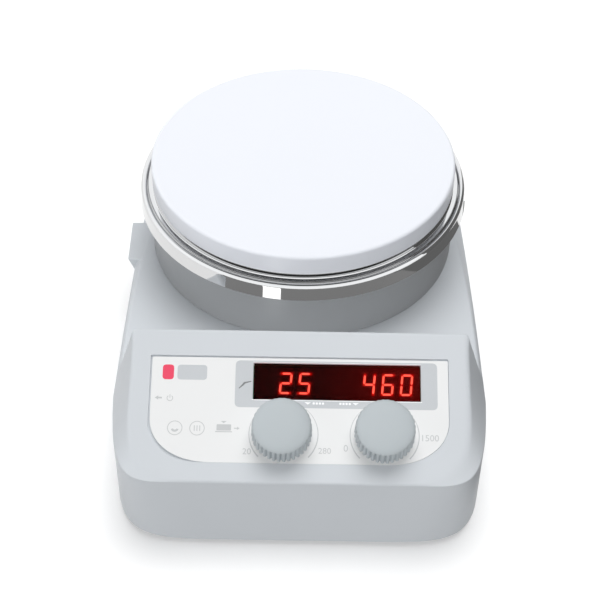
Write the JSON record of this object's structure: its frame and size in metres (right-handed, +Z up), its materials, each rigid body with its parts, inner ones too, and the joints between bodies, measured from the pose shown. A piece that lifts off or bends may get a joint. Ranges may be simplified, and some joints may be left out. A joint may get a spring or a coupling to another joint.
{
  "type": "hotplate magnetic stirrer",
  "caption": "Benchtop hotplate magnetic stirrer with a round white work plate on a chrome-trimmed collar, a sloping panel with red digits and two push-turn dials, and a side rocker switch.",
  "frame": {"origin": "middle of the bounding box, on the surface the rubber feet stand on", "axes": "+Z up, +Y from the control panel towards the rear sockets, +X to the user's right"},
  "size_m": [0.1569, 0.26, 0.08],
  "materials": {
    "housing": "satin powder-smooth light cool grey",
    "base": "moulded grey, fine texture",
    "collar": "smooth mid grey, satin",
    "chrome_trim": "mirror polished",
    "plate_coating": "smooth white ceramic coating",
    "sheet_steel": "rolled sheet",
    "bright_steel": "turned and plated",
    "mineral_wool": "pressed fibre",
    "motor_paint": "black satin",
    "black_moulding": "moulded black",
    "aluminium": "machined",
    "magnet": "nickel plated",
    "lead_sleeve": "braided sleeve",
    "harness": "soft jacket",
    "panel_print": "printed film, satin white",
    "display_window": "dark red filter, glossy",
    "led_module": "digits glow red",
    "circuit_board": "solder mask",
    "brass": "turned",
    "dial": "fine matt blue-grey",
    "terminal_plastic": "moulded",
    "rocker_plastic": "gloss black",
    "foot_rubber": "soft matt"
  },
  "bodies": {
    "housing": {"base_cover": "base", "base_screw_1": "bright_steel", "base_screw_2": "bright_steel", "base_screw_3": "bright_steel", "base_screw_4": "bright_steel", "capacitor": "black_moulding", "collar": "collar", "display_board": "circuit_board", "display_harness": "harness", "display_window": "display_window", "foot_1": "foot_rubber", "foot_2": "foot_rubber", "foot_3": "foot_rubber", "foot_4": "foot_rubber", "fuse_holder": "black_moulding", "heat_digits": "led_module", "heat_encoder": "bright_steel", "heater_clamp_plate": "sheet_steel", "heater_disc": "sheet_steel", "heater_lead": "lead_sleeve", "heatsink": "aluminium", "inlet_body": "black_moulding", "inlet_pin_1": "brass", "inlet_pin_2": "brass", "inlet_pin_3": "brass", "insulation_pad": "mineral_wool", "motor_can": "motor_paint", "panel_overlay": "panel_print", "plate_post_1": "bright_steel", "plate_post_2": "bright_steel", "plate_post_3": "bright_steel", "plate_sensor": "sheet_steel", "power_board": "circuit_board", "probe_socket": "bright_steel", "rod_bush": "bright_steel", "safety_thermostat": "black_moulding", "stir_digits": "led_module", "stir_encoder": "bright_steel", "support_plate": "sheet_steel", "switch_body": "black_moulding", "terminal_block": "terminal_plastic", "transformer": "black_moulding", "trim_ring": "chrome_trim", "upper_housing": "housing", "work_plate": "plate_coating"},
    "heat_push": {"heat_plunger": "brass"},
    "heat_knob": {"heat_shaft": "aluminium", "heat_dial": "dial"},
    "stir_push": {"stir_plunger": "brass"},
    "stir_knob": {"stir_shaft": "aluminium", "stir_dial": "dial"},
    "rotor": {"motor_shaft": "bright_steel", "magnet_carrier": "aluminium", "magnet_1": "magnet", "magnet_2": "magnet"},
    "rocker": {"power_rocker": "rocker_plastic"},
    "fuse_slide": {"fuse_carrier": "black_moulding", "fuse_link": "brass"},
    "fuse_turn": {"fuse_cap": "black_moulding"}
  },
  "joints": [
    {"name": "heat_push", "type": "slide", "parent": "housing", "child": "heat_push", "axis": [0, 0.4067, -0.9135], "range_m": [0, 0.0008], "stiffness_N_per_m": 400, "springref_m": -0.004},
    {"name": "heat_turn", "type": "hinge", "parent": "heat_push", "child": "heat_knob", "pos_m": [-0.0069, -0.11127, 0.04644], "axis": [0, -0.4067, 0.9135], "continuous": true},
    {"name": "stir_push", "type": "slide", "parent": "housing", "child": "stir_push", "axis": [0, 0.4067, -0.9135], "range_m": [0, 0.0008], "stiffness_N_per_m": 400, "springref_m": -0.004},
    {"name": "stir_turn", "type": "hinge", "parent": "stir_push", "child": "stir_knob", "pos_m": [0.0341, -0.11127, 0.04644], "axis": [0, -0.4067, 0.9135], "continuous": true},
    {"name": "rotor_spin", "type": "hinge", "parent": "housing", "child": "rotor", "pos_m": [0, 0.0243, 0.05], "axis": [0, 0, 1], "continuous": true},
    {"name": "rocker_tilt", "type": "hinge", "parent": "housing", "child": "rocker", "pos_m": [-0.071, 0.0186, 0.0187], "axis": [0, 0, 1], "range_deg": [-16, 0]},
    {"name": "fuse_pull", "type": "slide", "parent": "housing", "child": "fuse_slide", "axis": [0, 1, 0], "range_m": [0, 0.024]},
    {"name": "fuse_cap_turn", "type": "hinge", "parent": "fuse_slide", "child": "fuse_turn", "pos_m": [-0.0088, 0.128, 0.0186], "axis": [0, 1, 0], "range_deg": [0, 90]}
  ]
}
